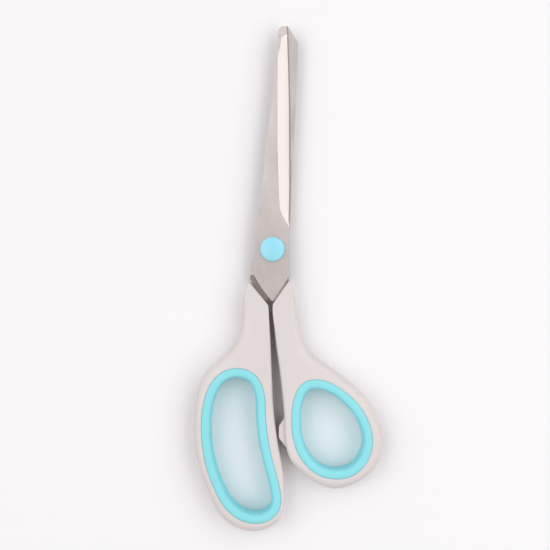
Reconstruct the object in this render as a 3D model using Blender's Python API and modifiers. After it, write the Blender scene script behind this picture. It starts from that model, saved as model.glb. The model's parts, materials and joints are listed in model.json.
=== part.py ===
"""Office scissors with soft lined loops, modelled closed and lying flat.

Frame: +X to the right, +Y towards the blade tips, +Z up. The origin lies under
the middle of the closed pair, on the surface that the handles rest on.

The thumb side (upper blade, thumb handle, thumb grip) turns about the pivot's
vertical axis. Everything else belongs to the finger side. Every outline below
is written in millimetres from the pivot's axis, counter-clockwise from above.
"""

from math import cos, pi, radians, sin

import bmesh
import bpy
from mathutils import Vector

MM = 0.001

# Where the pivot stands in the frame.
PIVOT = Vector((-6.8, 12.4, 0.0)) * MM

# Clearance between pieces that touch.
GAP = 0.3

# Blades: stamped sheet, one above the other.
BLADE_THICKNESS = 1.8
SHEAR_PLANE = 6.0
UPPER_LOW = SHEAR_PLANE + GAP / 2
UPPER_HIGH = UPPER_LOW + BLADE_THICKNESS
LOWER_HIGH = SHEAR_PLANE - GAP / 2
LOWER_LOW = LOWER_HIGH - BLADE_THICKNESS
EDGE_THICKNESS = 0.35
BEVEL_WIDTH = 5.0
BEVEL_START = 12.0
BEVEL_LENGTH = 95.0
BEVEL_BLOCK = 10.0
UPPER_BEVEL_FOOT = 2.3
LOWER_BEVEL_FOOT = -0.4
LOWER_EDGE_LEAN = radians(8.1)

# Handles: moulded plates, flat below, thinner on top towards the blades.
HANDLE_HEIGHT = 12.0
HANDLE_ROUND = 2.0
FRONT_ROUND_SHARE = 0.2
FRONT_FADE_START = -30.0
FRONT_FADE_END = -14.0
NECK_HEIGHT = 10.0
NECK_TAPER_START = -58.0
NECK_TAPER_END = -24.0

# Loop seats: the soft grip wraps a rib that stands inside each loop.
SEAT_DEPTH = 3.0
RIB_WIDTH = 2.4
GRIP_WIDTH = 4.2
GRIP_RECESS = 0.15
GRIP_ROUND = 1.1
CUT_MARGIN = 2.0

# Pivot stack, from the cap down to the nut.
SHANK_RADIUS = 2.0
SHANK_END = 1.0
SHANK_CHAMFER = 0.4
PIVOT_HOLE_RADIUS = SHANK_RADIUS + GAP
HEAD_RADIUS = 4.0
HEAD_HIGH = 9.5
HEAD_CHAMFER = 0.3
SLOT_WIDTH = 1.0
SLOT_DEPTH = 0.7
CAP_RADIUS = 5.3
CAP_SHOULDER = 9.6
CAP_HIGH = 10.9
WASHER_RADIUS = 4.3
WASHER_THICKNESS = 0.35
WASHER_WAVE = 0.15
WASHER_MIDDLE = 3.4
WASHER_WAVES = 3
NUT_LOW = 1.3
NUT_HIGH = 2.7
NUT_ACROSS_FLATS = 7.0
NUT_CHAMFER = 0.35

# Facets: steps on each span of a smooth outline, and round curved surfaces.
OUTLINE_STEPS = 4
GRIP_STEPS = 3
TURNED_STEPS = 32
DOME_STEPS = 6
RIM_SEGMENTS = 3
FLAT_ANGLE = radians(0.5)
SHARP_ANGLE = radians(35)
WELD = 0.002

UPPER_BLADE = [
    (7.4, -11.6), (7.25, -5.4), (7.25, 9.0), (7.45, 21.1), (7.45, 42.4), (7.25, 63.8),
    (6.9, 80.9), (6.4, 95.0), (6.1, 95.2), (4.0, 95.2), (2.7, 94.1), (2.1, 91.5),
    (2.1, 87.3), (1.3, 80.0), (-0.2, 63.8), (-2.75, 42.4), (-4.9, 21.1), (-6.4, 11.7),
    (-7.45, 4.0), (-8.0, -3.7), (-7.65, -9.7), (-7.7, -11.3), (-6.2, -14.1),
    (-4.5, -16.8), (-2.5, -19.4), (-0.5, -22.0), (0.9, -21.5), (2.5, -28.0),
    (4.1, -36.0), (5.6, -44.6), (9.3, -44.0), (7.9, -30.0), (5.5, -14.6),
]

LOWER_BLADE = [
    (6.0, -10.8), (6.9, -5.0), (7.0, 2.0), (7.7, 9.0), (8.25, 21.1), (9.0, 40.3),
    (9.65, 53.1), (10.3, 63.8), (10.65, 72.4), (11.15, 87.2), (10.9, 88.6), (6.9, 95.0),
    (5.9, 95.0), (4.3, 80.9), (1.85, 64.0), (-1.2, 43.2), (-4.2, 22.0), (-5.7, 10.1),
    (-7.3, -1.0), (-7.9, -3.9), (-8.6, -5.4), (-9.1, -7.2), (-9.3, -9.5), (-9.6, -12.6),
    (-7.7, -15.5), (-10.0, -30.0), (-10.9, -44.0), (-7.0, -44.6), (-6.0, -36.0),
    (-4.6, -28.0), (-3.1, -21.3), (-2.2, -22.0),
]

# Each handle outline is one smooth run; its two ends are the corners of the
# straight front that faces the blades.
THUMB_HANDLE = [
    (0.0, -23.5), (-0.05, -27.0), (0.35, -30.5), (1.0, -36.0), (1.75, -43.0),
    (2.7, -49.4), (3.5, -56.0), (4.2, -62.5), (4.75, -68.5), (5.0, -74.0), (5.2, -80.0),
    (6.1, -85.5), (8.2, -90.5), (12.0, -94.9), (18.4, -99.5), (26.5, -102.0),
    (35.5, -99.6), (43.5, -93.4), (47.3, -84.5), (46.2, -75.2), (41.0, -64.7),
    (33.5, -57.4), (24.0, -50.4), (16.1, -44.3), (12.6, -37.0), (11.0, -28.0),
    (9.4, -19.5), (7.7, -12.3),
]

FINGER_HANDLE = [
    (-10.0, -13.7), (-12.1, -18.7), (-13.1, -26.0), (-13.6, -33.5), (-15.9, -40.2),
    (-21.5, -46.2), (-27.8, -51.8), (-31.8, -59.5), (-33.5, -69.5), (-33.5, -80.5),
    (-31.9, -91.0), (-28.4, -101.0), (-23.2, -112.0), (-15.6, -118.4), (-6.9, -120.0),
    (0.9, -117.1), (4.8, -110.0), (5.1, -99.5), (4.5, -93.5), (3.3, -87.5),
    (2.2, -81.5), (1.25, -74.5), (0.45, -67.0), (0.0, -58.0), (-0.4, -48.0),
    (-0.8, -38.0), (-1.25, -30.0), (-1.6, -23.9),
]

THUMB_SEAT = [
    (19.3, -55.3), (13.1, -56.7), (9.3, -62.8), (8.1, -73.0), (9.0, -81.5),
    (12.6, -89.6), (18.8, -95.4), (26.5, -97.4), (34.0, -96.0), (39.6, -90.9),
    (42.3, -84.0), (41.9, -76.8), (38.5, -68.8), (33.2, -62.6), (26.5, -57.6),
]

FINGER_SEAT = [
    (-13.6, -50.6), (-21.3, -52.2), (-26.7, -58.1), (-29.7, -68.0), (-30.0, -80.5),
    (-28.2, -91.8), (-25.1, -100.5), (-20.6, -109.0), (-13.4, -114.8), (-5.0, -116.1),
    (1.9, -112.2), (3.7, -106.0), (2.2, -97.5), (-1.2, -84.0), (-2.8, -71.5),
    (-3.4, -61.5), (-6.9, -53.7),
]

# The stop that ends the closing stroke: a block on the thumb loop's inner side.
STOP_NUB = [
    (7.2, -84.6), (7.0, -71.6), (5.4, -71.3), (3.05, -74.8), (2.7, -75.6), (2.65, -79.8),
    (3.0, -80.6), (6.4, -85.0),
]
NUB_LOW = 2.5
NUB_HIGH = 9.5


def clear_scene():
    for item in list(bpy.data.objects):
        bpy.data.objects.remove(item, do_unlink=True)


def new_collection(name):
    collection = bpy.data.collections.new(name)
    bpy.context.scene.collection.children.link(collection)
    return collection


def make_material(name, colour, roughness, metallic):
    material = bpy.data.materials.new(name)
    material.use_nodes = True
    shader = material.node_tree.nodes["Principled BSDF"]
    shader.inputs["Base Color"].default_value = (*colour, 1.0)
    shader.inputs["Roughness"].default_value = roughness
    shader.inputs["Metallic"].default_value = metallic
    return material


def smooth_span(before, start, end, after, steps):
    """Points from start up to end on a centripetal Catmull-Rom curve."""
    knots = [0.0]
    for first, second in ((before, start), (start, end), (end, after)):
        knots.append(knots[-1] + (second - first).length ** 0.5)
    points = []
    for step in range(steps):
        t = knots[1] + (knots[2] - knots[1]) * step / steps
        layer = [before, start, end, after]
        for depth in (1, 2, 3):
            blended = []
            for index in range(4 - depth):
                low = knots[max(index, index + depth - 2)]
                high = knots[min(index + depth, index + 2)]
                share = (t - low) / (high - low)
                blended.append(layer[index].lerp(layer[index + 1], share))
            layer = blended
        points.append(layer[0])
    return points


def smooth_outline(points, steps, closed):
    """A smooth curve through the points; an open one keeps its end corners."""
    corners = [Vector(point) for point in points]
    if closed:
        padded = [corners[-1], *corners, corners[0], corners[1]]
    else:
        first = corners[0] * 2 - corners[1]
        last = corners[-1] * 2 - corners[-2]
        padded = [first, *corners, last]
    outline = []
    for index in range(len(padded) - 3):
        outline += smooth_span(*padded[index:index + 4], steps)
    if not closed:
        outline.append(corners[-1])
    return outline


def inset(outline, distance):
    """The outline moved inwards by distance, or outwards if it is negative."""
    points = [Vector(point) for point in outline]
    moved = []
    for index, point in enumerate(points):
        before = (point - points[index - 1]).normalized()
        after = (points[(index + 1) % len(points)] - point).normalized()
        normal_before = Vector((-before.y, before.x))
        normal_after = Vector((-after.y, after.x))
        middle = (normal_before + normal_after).normalized()
        moved.append(point + middle * (distance / middle.dot(normal_after)))
    return moved


def circle(radius, steps):
    return [Vector((radius * cos(2 * pi * i / steps), radius * sin(2 * pi * i / steps)))
            for i in range(steps)]


def add_object(name, mesh, collection, root):
    item = bpy.data.objects.new(name, mesh)
    collection.objects.link(item)
    item.parent = root
    return item


def plate(name, loops, low, high, collection, root, edge_round=0.0):
    """A flat piece from closed outlines: the first is its rim, the rest are holes."""
    curve = bpy.data.curves.new(name, "CURVE")
    curve.dimensions = "2D"
    curve.fill_mode = "BOTH"
    curve.extrude = ((high - low) / 2 - edge_round) * MM
    curve.bevel_depth = edge_round * MM
    curve.bevel_resolution = 1
    for number, loop in enumerate(loops):
        body = inset(loop, edge_round if number == 0 else -edge_round)
        spline = curve.splines.new("POLY")
        spline.points.add(len(body) - 1)
        spline.use_cyclic_u = True
        for point, place in zip(spline.points, body):
            point.co = (place.x * MM, place.y * MM, 0.0, 1.0)
    drawn = bpy.data.objects.new(name + "_outline", curve)
    collection.objects.link(drawn)
    graph = bpy.context.evaluated_depsgraph_get()
    mesh = bpy.data.meshes.new_from_object(drawn.evaluated_get(graph))
    bpy.data.objects.remove(drawn, do_unlink=True)
    mesh.name = name
    welded = bmesh.new()
    welded.from_mesh(mesh)
    bmesh.ops.translate(welded, verts=welded.verts, vec=(0.0, 0.0, (low + high) / 2 * MM))
    bmesh.ops.remove_doubles(welded, verts=welded.verts, dist=WELD * MM)
    bmesh.ops.recalc_face_normals(welded, faces=welded.faces)
    welded.to_mesh(mesh)
    welded.free()
    return add_object(name, mesh, collection, root)


def block(name, size, collection, root):
    """A box whose lowest corner is its origin."""
    shape = bmesh.new()
    bmesh.ops.create_cube(shape, size=1.0)
    bmesh.ops.translate(shape, verts=shape.verts, vec=(0.5, 0.5, 0.5))
    bmesh.ops.scale(shape, verts=shape.verts, vec=Vector(size) * MM)
    mesh = bpy.data.meshes.new(name)
    shape.to_mesh(mesh)
    shape.free()
    return add_object(name, mesh, collection, root)


def turned(name, profile, collection, root, closed=False):
    """A round piece about the pivot's axis, from a profile that runs top to bottom."""
    mesh = bpy.data.meshes.new(name)
    edges = [(i, i + 1) for i in range(len(profile) - 1)]
    if closed:
        edges.append((len(profile) - 1, 0))
    mesh.from_pydata([(r * MM, 0.0, z * MM) for r, z in profile], edges, [])
    item = add_object(name, mesh, collection, root)
    screw = item.modifiers.new("turn", "SCREW")
    screw.steps = TURNED_STEPS
    screw.render_steps = TURNED_STEPS
    screw.use_merge_vertices = True
    screw.merge_threshold = WELD * MM
    return item


def boolean(item, tool, operation="DIFFERENCE"):
    modifier = item.modifiers.new(tool.name, "BOOLEAN")
    modifier.operation = operation
    modifier.solver = "EXACT"
    modifier.object = tool


def finish(item, material):
    item.data.materials.clear()
    item.data.materials.append(material)
    item.data.shade_smooth()
    item.data.set_sharp_from_angle(angle=SHARP_ANGLE)


def ease(value, start, end):
    """A smooth step from 0 at start to 1 at end."""
    share = min(max((value - start) / (end - start), 0.0), 1.0)
    return share * share * (3 - 2 * share)


def round_rims(item, width):
    """Round the upper and lower rims, less and less towards the sharp front corners."""
    shape = bmesh.new()
    shape.from_mesh(item.data)
    bmesh.ops.dissolve_limit(shape, angle_limit=FLAT_ANGLE, edges=shape.edges, verts=[])
    weights = shape.edges.layers.float.new("bevel_weight_edge")
    for edge in shape.edges:
        first, second = edge.verts
        is_rim = abs(first.co.z - second.co.z) < GAP * MM and edge.calc_face_angle() > pi / 4
        if is_rim:
            middle = (first.co.y + second.co.y) / 2 / MM
            fade = ease(middle, FRONT_FADE_START, FRONT_FADE_END)
            edge[weights] = 1.0 + (FRONT_ROUND_SHARE - 1.0) * fade
    shape.to_mesh(item.data)
    shape.free()
    rounding = item.modifiers.new("round", "BEVEL")
    rounding.width = width * MM
    rounding.segments = RIM_SEGMENTS
    rounding.limit_method = "WEIGHT"
    rounding.use_clamp_overlap = False


def settle_mesh(item):
    """Apply the modifiers, and split the flat faces into well-shaped triangles."""
    graph = bpy.context.evaluated_depsgraph_get()
    mesh = bpy.data.meshes.new_from_object(item.evaluated_get(graph))
    item.modifiers.clear()
    item.data = mesh
    shape = bmesh.new()
    shape.from_mesh(mesh)
    bmesh.ops.triangulate(shape, faces=shape.faces, ngon_method="BEAUTY")
    shape.to_mesh(mesh)
    shape.free()


def taper_neck(item):
    """Lower the handle's top from the loop's height to the neck's."""
    for vertex in item.data.vertices:
        share = ease(vertex.co.y / MM, NECK_TAPER_START, NECK_TAPER_END)
        scale = 1 - share * (HANDLE_HEIGHT - NECK_HEIGHT) / (HANDLE_HEIGHT - SHEAR_PLANE)
        above = vertex.co.z - SHEAR_PLANE * MM
        if above > 0:
            vertex.co.z = SHEAR_PLANE * MM + above * scale


def make_blade(name, outline, low, parts, root):
    loops = [[Vector(point) for point in outline], circle(PIVOT_HOLE_RADIUS, TURNED_STEPS)]
    return plate(name, loops, low, low + BLADE_THICKNESS, parts, root)


def grind_bevel(blade, foot, lean, side, cutters, root):
    """Grind the outer face down to the edge; side is 1 for above, -1 for below."""
    slope = (BLADE_THICKNESS - EDGE_THICKNESS) / BEVEL_WIDTH
    wheel = block(blade.name + "_bevel", (BEVEL_BLOCK, BEVEL_LENGTH, BEVEL_BLOCK), cutters, root)
    wheel.location = Vector(foot) * MM
    turn = slope if side > 0 else slope + pi
    wheel.rotation_euler = (0.0, turn, -lean)
    boolean(blade, wheel)


def make_handle(name, run, seat, blade_outline, blade_low, parts, cutters, root):
    outline = smooth_outline(run, OUTLINE_STEPS, closed=False)
    handle = plate(name, [outline], 0.0, HANDLE_HEIGHT, parts, root)
    round_rims(handle, HANDLE_ROUND)
    settle_mesh(handle)
    taper_neck(handle)
    seat_line = smooth_outline(seat, GRIP_STEPS, closed=True)
    top = HANDLE_HEIGHT + CUT_MARGIN
    cuts = [
        plate(name + "_hole", [inset(seat_line, RIB_WIDTH)], -CUT_MARGIN, top, cutters, root),
        plate(name + "_seat_low", [seat_line], -CUT_MARGIN, SEAT_DEPTH, cutters, root),
        plate(name + "_seat_high", [seat_line], HANDLE_HEIGHT - SEAT_DEPTH, top, cutters, root),
        plate(name + "_pocket", [inset(blade_outline, -GAP)], blade_low - GAP,
              blade_low + BLADE_THICKNESS + GAP, cutters, root),
    ]
    for cut in cuts:
        boolean(handle, cut)
    return handle


def make_grip(name, seat, parts, cutters, root):
    """A soft ring with a groove round its outside for the handle's rib."""
    seat_line = smooth_outline(seat, GRIP_STEPS, closed=True)
    rings = [inset(seat_line, GAP), inset(seat_line, GRIP_WIDTH)]
    grip = plate(name, rings, GRIP_RECESS, HANDLE_HEIGHT - GRIP_RECESS, parts, root, GRIP_ROUND)
    groove_rings = [inset(seat_line, -CUT_MARGIN), inset(seat_line, RIB_WIDTH + GAP)]
    groove = plate(name + "_groove", groove_rings, SEAT_DEPTH - GAP,
                   HANDLE_HEIGHT - SEAT_DEPTH + GAP, cutters, root)
    boolean(grip, groove)
    return grip


def make_screw(parts, cutters, root):
    head_low = UPPER_HIGH + GAP
    profile = [
        (0.0, HEAD_HIGH), (HEAD_RADIUS - HEAD_CHAMFER, HEAD_HIGH),
        (HEAD_RADIUS, HEAD_HIGH - HEAD_CHAMFER), (HEAD_RADIUS, head_low),
        (SHANK_RADIUS, head_low), (SHANK_RADIUS, SHANK_END + SHANK_CHAMFER),
        (SHANK_RADIUS - SHANK_CHAMFER, SHANK_END), (0.0, SHANK_END),
    ]
    screw = turned("pivot_screw", profile, parts, root)
    slot = block("pivot_screw_slot", (4 * HEAD_RADIUS, SLOT_WIDTH, 2 * SLOT_DEPTH), cutters, root)
    slot.location = Vector((-2 * HEAD_RADIUS, -SLOT_WIDTH / 2, HEAD_HIGH - SLOT_DEPTH)) * MM
    boolean(screw, slot)
    return screw


def make_cap(parts, root):
    """A domed cap over the screw's head, open underneath."""
    low = UPPER_HIGH + GAP
    room_radius = HEAD_RADIUS + GAP
    room_high = HEAD_HIGH + GAP
    rise = CAP_HIGH - CAP_SHOULDER
    dome = [(CAP_RADIUS * sin(angle), CAP_SHOULDER + rise * cos(angle))
            for angle in (pi / 2 * step / DOME_STEPS for step in range(DOME_STEPS + 1))]
    profile = [*dome, (CAP_RADIUS, low), (room_radius, low), (room_radius, room_high),
               (0.0, room_high)]
    return turned("pivot_cap", profile, parts, root)


def make_washer(parts, root):
    """A wavy ring that keeps the joint lightly sprung."""
    inner = PIVOT_HOLE_RADIUS
    high = WASHER_MIDDLE + WASHER_THICKNESS / 2
    low = WASHER_MIDDLE - WASHER_THICKNESS / 2
    profile = [(inner, high), (WASHER_RADIUS, high), (WASHER_RADIUS, low), (inner, low)]
    ring = turned("wave_washer", profile, parts, root, closed=True)
    settle_mesh(ring)
    for vertex in ring.data.vertices:
        around = Vector((vertex.co.x, vertex.co.y)).angle_signed(Vector((1.0, 0.0)))
        vertex.co.z += WASHER_WAVE * MM * cos(WASHER_WAVES * around)
    return ring


def make_nut(parts, cutters, root):
    """A thin hexagon nut on the screw's lower end."""
    shape = bmesh.new()
    corner_radius = NUT_ACROSS_FLATS / 2 / cos(pi / 6)
    height = NUT_HIGH - NUT_LOW
    bmesh.ops.create_cone(shape, cap_ends=True, segments=6, radius1=corner_radius * MM,
                          radius2=corner_radius * MM, depth=height * MM)
    mesh = bpy.data.meshes.new("pivot_nut")
    bmesh.ops.translate(shape, verts=shape.verts, vec=(0.0, 0.0, (NUT_LOW + height / 2) * MM))
    shape.to_mesh(mesh)
    shape.free()
    nut = add_object("pivot_nut", mesh, parts, root)
    profile = [
        (0.0, NUT_HIGH + CUT_MARGIN), (corner_radius, NUT_HIGH + CUT_MARGIN),
        (corner_radius, NUT_LOW + NUT_CHAMFER),
        (corner_radius - NUT_CHAMFER / sin(pi / 6), NUT_LOW), (0.0, NUT_LOW),
    ]
    boolean(nut, turned("pivot_nut_chamfer", profile, cutters, root), "INTERSECT")
    bore = plate("pivot_nut_bore", [circle(PIVOT_HOLE_RADIUS, TURNED_STEPS)],
                 NUT_LOW - CUT_MARGIN, NUT_HIGH + CUT_MARGIN, cutters, root)
    boolean(nut, bore)
    return nut


def build():
    clear_scene()
    parts = new_collection("office_scissors")
    cutters = new_collection("cutters")
    root = bpy.data.objects.new("pivot", None)
    parts.objects.link(root)
    root.location = PIVOT

    steel = make_material("satin_steel", (0.62, 0.56, 0.54), 0.32, 1.0)
    hardware = make_material("bright_steel", (0.70, 0.69, 0.68), 0.22, 1.0)
    plastic = make_material("warm_grey_plastic", (0.74, 0.68, 0.65), 0.42, 0.0)
    rubber = make_material("teal_rubber", (0.25, 0.80, 0.86), 0.55, 0.0)
    cap_plastic = make_material("teal_plastic", (0.33, 0.78, 0.92), 0.35, 0.0)

    upper_blade = make_blade("upper_blade", UPPER_BLADE, UPPER_LOW, parts, root)
    grind_bevel(upper_blade, (UPPER_BEVEL_FOOT, BEVEL_START, UPPER_HIGH), 0.0, 1, cutters, root)
    lower_blade = make_blade("lower_blade", LOWER_BLADE, LOWER_LOW, parts, root)
    grind_bevel(lower_blade, (LOWER_BEVEL_FOOT, BEVEL_START, LOWER_LOW), LOWER_EDGE_LEAN, -1,
                cutters, root)
    finish(upper_blade, steel)
    finish(lower_blade, steel)

    thumb_handle = make_handle("thumb_handle", THUMB_HANDLE, THUMB_SEAT, UPPER_BLADE,
                               UPPER_LOW, parts, cutters, root)
    nub = plate("stop_nub", [[Vector(point) for point in STOP_NUB]], NUB_LOW, NUB_HIGH,
                cutters, root)
    boolean(thumb_handle, nub, "UNION")
    finger_handle = make_handle("finger_handle", FINGER_HANDLE, FINGER_SEAT, LOWER_BLADE,
                                LOWER_LOW, parts, cutters, root)
    finish(thumb_handle, plastic)
    finish(finger_handle, plastic)
    finish(make_grip("thumb_grip", THUMB_SEAT, parts, cutters, root), rubber)
    finish(make_grip("finger_grip", FINGER_SEAT, parts, cutters, root), rubber)

    finish(make_screw(parts, cutters, root), hardware)
    finish(make_cap(parts, root), cap_plastic)
    finish(make_washer(parts, root), hardware)
    finish(make_nut(parts, cutters, root), hardware)

    for tool in cutters.objects:
        tool.hide_render = True
        tool.display_type = "WIRE"


build()
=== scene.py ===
"""Office scissors with soft lined loops: the looks of every piece, at rest and closed.

Every piece is drawn in millimetres from the pivot's axis, +Y towards the tips,
with z measured from the surface that the handles rest on. Heights come from the
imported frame; the outlines repeat the design's own, because they are what the
blades, the handles and the linings follow. make_piece() moves a finished mesh
into the frame, in metres.
"""

import json
from bisect import bisect_right
from math import cos, pi, radians, sin, sqrt

import bmesh
import bpy
import numpy as np
from mathutils import Matrix, Vector
from mathutils.geometry import delaunay_2d_cdt


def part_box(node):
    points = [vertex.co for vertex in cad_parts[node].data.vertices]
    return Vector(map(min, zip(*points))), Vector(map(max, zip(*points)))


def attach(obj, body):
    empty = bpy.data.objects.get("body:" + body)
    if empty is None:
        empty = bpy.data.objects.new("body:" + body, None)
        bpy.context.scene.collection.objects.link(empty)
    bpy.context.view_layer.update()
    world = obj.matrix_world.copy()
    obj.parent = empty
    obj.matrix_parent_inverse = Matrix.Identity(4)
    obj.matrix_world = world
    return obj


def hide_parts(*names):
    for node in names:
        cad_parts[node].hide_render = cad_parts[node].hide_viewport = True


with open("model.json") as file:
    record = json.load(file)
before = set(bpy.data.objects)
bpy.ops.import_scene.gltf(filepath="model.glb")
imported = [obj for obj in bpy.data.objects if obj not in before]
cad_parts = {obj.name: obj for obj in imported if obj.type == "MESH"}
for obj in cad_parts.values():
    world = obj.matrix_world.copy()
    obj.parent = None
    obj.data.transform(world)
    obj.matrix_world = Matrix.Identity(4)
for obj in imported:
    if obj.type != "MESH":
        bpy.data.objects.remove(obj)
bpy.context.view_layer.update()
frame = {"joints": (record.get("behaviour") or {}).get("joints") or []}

MM = 0.001
PIVOT = Vector(frame["joints"][0]["pos_m"]) / MM


def levels(node):
    """The lowest and highest z of a CAD node, in millimetres."""
    low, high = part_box(node)
    return low.z / MM, high.z / MM


UPPER_LOW, UPPER_HIGH = levels("upper_blade")
LOWER_LOW, LOWER_HIGH = levels("lower_blade")
HANDLE_LOW, HANDLE_HIGH = levels("finger_handle")
GRIP_LOW, GRIP_HIGH = levels("finger_grip")
CAP_LOW, CAP_HIGH = levels("pivot_cap")
SCREW_LOW, SCREW_HIGH = levels("pivot_screw")
WASHER_LOW, WASHER_HIGH = levels("wave_washer")
NUT_LOW, NUT_HIGH = levels("pivot_nut")
SHEAR_PLANE = (UPPER_LOW + LOWER_HIGH) / 2

# How close the outlines are followed.
COARSE_STEP = 2.0
FINE_STEP = 0.5
RELAX_PASSES = 8
RELAX_PULL, RELAX_PUSH = 0.5, -0.53
# Flat faces are filled with points this far apart, which keep this share of it
# clear of a border.
FILL_STEP = 1.3
FILL_MARGIN = 0.6
# For the triangulation: stay within the borders, and merge points closer than this.
WITHIN_BORDERS, MERGE = 1, 0.00001

# Blade sides from heel to tip. The plain side is the spine; the other is ground.
UPPER_SPINE = [
    [(5.6, -44.6), (4.1, -36.0), (2.5, -28.0), (0.95, -22.15)],
    [(-0.5, -22.0), (-2.5, -19.4), (-4.5, -16.8), (-6.2, -14.1), (-7.7, -11.3)],
    [(-7.65, -9.7), (-8.0, -3.7), (-7.45, 4.0), (-6.4, 11.7), (-4.9, 21.1), (-2.75, 42.4),
     (-0.2, 63.8), (1.3, 80.0), (2.1, 87.3)],
    [(2.15, 91.5), (2.7, 94.1), (4.0, 95.2)],
]
UPPER_EDGE = [
    [(9.3, -44.6), (7.9, -30.0), (5.5, -14.6)],
    [(7.3, -11.8)],
    [(7.4, -11.3), (7.25, -5.4), (7.25, 9.0), (7.6, 21.1), (7.65, 42.4), (7.5, 63.8),
     (7.1, 80.9), (6.5, 95.0), (6.4, 95.2)],
]
LOWER_SPINE = [
    [(-7.0, -44.6), (-6.0, -36.0), (-4.6, -28.0), (-3.2, -22.2)],
    [(-2.2, -22.0), (5.8, -11.0)],
    [(6.0, -10.6), (6.9, -5.0), (7.0, 2.0), (7.7, 9.0), (8.25, 21.1), (9.0, 40.3),
     (9.65, 53.1), (10.3, 63.8), (10.65, 72.4), (11.15, 87.2)],
    [(10.9, 88.6), (7.0, 94.9)],
    [(6.8, 95.0)],
]
LOWER_EDGE = [
    [(-10.9, -44.6), (-10.0, -30.0), (-7.7, -15.5)],
    [(-9.6, -12.6), (-9.3, -9.5), (-9.1, -7.2), (-8.6, -5.4), (-7.9, -3.9)],
    [(-7.3, -1.0), (-5.7, 10.1), (-4.2, 22.0), (-1.2, 43.2), (1.85, 64.0), (4.3, 80.9),
     (5.9, 95.0)],
]

# The line where the upper blade's flat meets its ground edge.
UPPER_FOOT = [
    (6.95, 9.2), (6.7, 10.2), (5.6, 11.7), (4.5, 13.8), (3.25, 16.8), (2.8, 23.0),
    (2.4, 36.0), (2.2, 46.7), (2.2, 80.0), (2.4, 83.0), (3.25, 86.0), (3.9, 90.3),
    (4.1, 91.5), (4.2, 95.2),
]
GROUND_WIDTH = 5.0
LOWER_GROUND_START = 10.0
LOWER_GROUND_FULL = 24.0
EDGE_THICKNESS = 0.5
HOLLOW = 0.3
# Corners are broken this much, and wider where a side slants.
EDGE_BREAK = 0.13
SLANT_REACH = 0.2
SLANT_MOST = 2.0
# The narrow cutting bevel beside the edge.
CUT_WIDTH, CUT_DROP = 0.5, 0.38
CUT_LEAST = 0.03
# The ground side steps down near the tip and then slopes.
TIP_START = 90.5
TIP_STEP = 0.55
TIP_STEP_LENGTH = 0.9
TIP_SLOPE = 0.16
ROW_STEP = 0.4
ROW_LEAST = 0.04
FLAT_STEPS = 4
GROUND_STEPS = 10
BLADE_SHARP = 6.0
# A blade's material slots, and how far up the lower one's steel is painted dark: painted shade, for
# the dark slot beside the upper blade's heel.
SATIN, GROUND, TANG_SHADE = 0, 1, 2
TANG_SHADE_END = -11.2
# The pocket that a blade's tang needs in its handle.
TANG_END = -44.6
TANG_ROWS = 72
TANG_ROW_STEP = 0.5
TANG_CLEAR = 0.03

# Handle outlines: one smooth run each, from one end of the straight front to
# the other, counter-clockwise.
THUMB_HANDLE = [
    (0.0, -23.5), (-0.05, -27.0), (0.35, -30.5), (1.0, -36.0), (1.75, -43.0),
    (2.7, -49.4), (3.5, -56.0), (4.2, -62.5), (4.75, -68.5), (5.0, -74.0), (5.2, -80.0),
    (6.1, -85.5), (8.2, -90.5), (12.0, -94.9), (18.4, -99.5), (26.5, -102.0),
    (35.5, -99.6), (43.5, -93.4), (47.3, -84.5), (46.2, -75.2), (41.0, -64.7),
    (33.5, -57.4), (24.0, -50.4), (16.1, -44.3), (12.6, -37.0), (11.0, -28.0),
    (9.4, -19.5), (7.7, -12.3),
]
FINGER_HANDLE = [
    (-10.0, -13.7), (-12.1, -18.7), (-13.1, -26.0), (-13.6, -33.5), (-15.9, -40.2),
    (-21.5, -46.2), (-27.8, -51.8), (-31.8, -59.5), (-33.5, -69.5), (-33.5, -80.5),
    (-31.9, -91.0), (-28.4, -101.0), (-23.2, -112.0), (-15.6, -118.4), (-6.9, -120.0),
    (0.9, -117.1), (4.8, -110.0), (5.1, -99.5), (4.5, -93.5), (3.3, -87.5),
    (2.2, -81.5), (1.25, -74.5), (0.45, -67.0), (0.0, -58.0), (-0.4, -48.0),
    (-0.8, -38.0), (-1.25, -30.0), (-1.6, -23.9),
]
THUMB_SEAT = [
    (19.3, -55.3), (13.1, -56.7), (9.3, -62.8), (8.1, -73.0), (9.0, -81.5),
    (12.6, -89.6), (18.8, -95.4), (26.5, -97.4), (34.0, -96.0), (39.6, -90.9),
    (42.3, -84.0), (41.9, -76.8), (38.5, -68.8), (33.2, -62.6), (26.5, -57.6),
]
FINGER_SEAT = [
    (-13.6, -50.6), (-21.3, -52.2), (-26.7, -58.1), (-29.7, -68.0), (-30.0, -80.5),
    (-28.2, -91.8), (-25.1, -100.5), (-20.6, -109.0), (-13.4, -114.8), (-5.0, -116.1),
    (1.9, -112.2), (3.7, -106.0), (2.2, -97.5), (-1.2, -84.0), (-2.8, -71.5),
    (-3.4, -61.5), (-6.9, -53.7),
]
STOP_NUB = [
    (8.2, -84.8), (7.2, -71.6), (5.4, -71.3), (2.7, -75.3), (2.65, -80.2), (6.4, -85.0),
]
NUB_LOW, NUB_HIGH, NUB_ROUND = 2.5, 9.5, 0.5
NUB_CORNER = 0.8
NUB_STEPS = 4

# Handle section.
# The front corners start this many fine steps from the sharp corner.
CORNER_CUT = 2
CORNER_STEPS = 8
# The rim is widest round the loop, narrow where a side faces the other handle,
# and narrowest at the front, from where it widens over FRONT_FADE.
RIM_WIDTH, RIM_DROP = 3.6, 3.4
GAP_WIDTH, GAP_DROP = 1.4, 1.3
GAP_FACING = (0.6, 0.95)
FRONT_WIDTH, FRONT_DROP = 0.35, 0.45
FRONT_FADE = 17.0
RIM_STEPS = 9
DRAFT = 0.14
LOOP_TOP = HANDLE_HIGH - 0.7
NECK_TOP = 10.0
NECK_TAPER = (-58.0, -24.0)
FOOT_SHARE = 0.55
SEAT_CLEAR = 0.5

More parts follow.
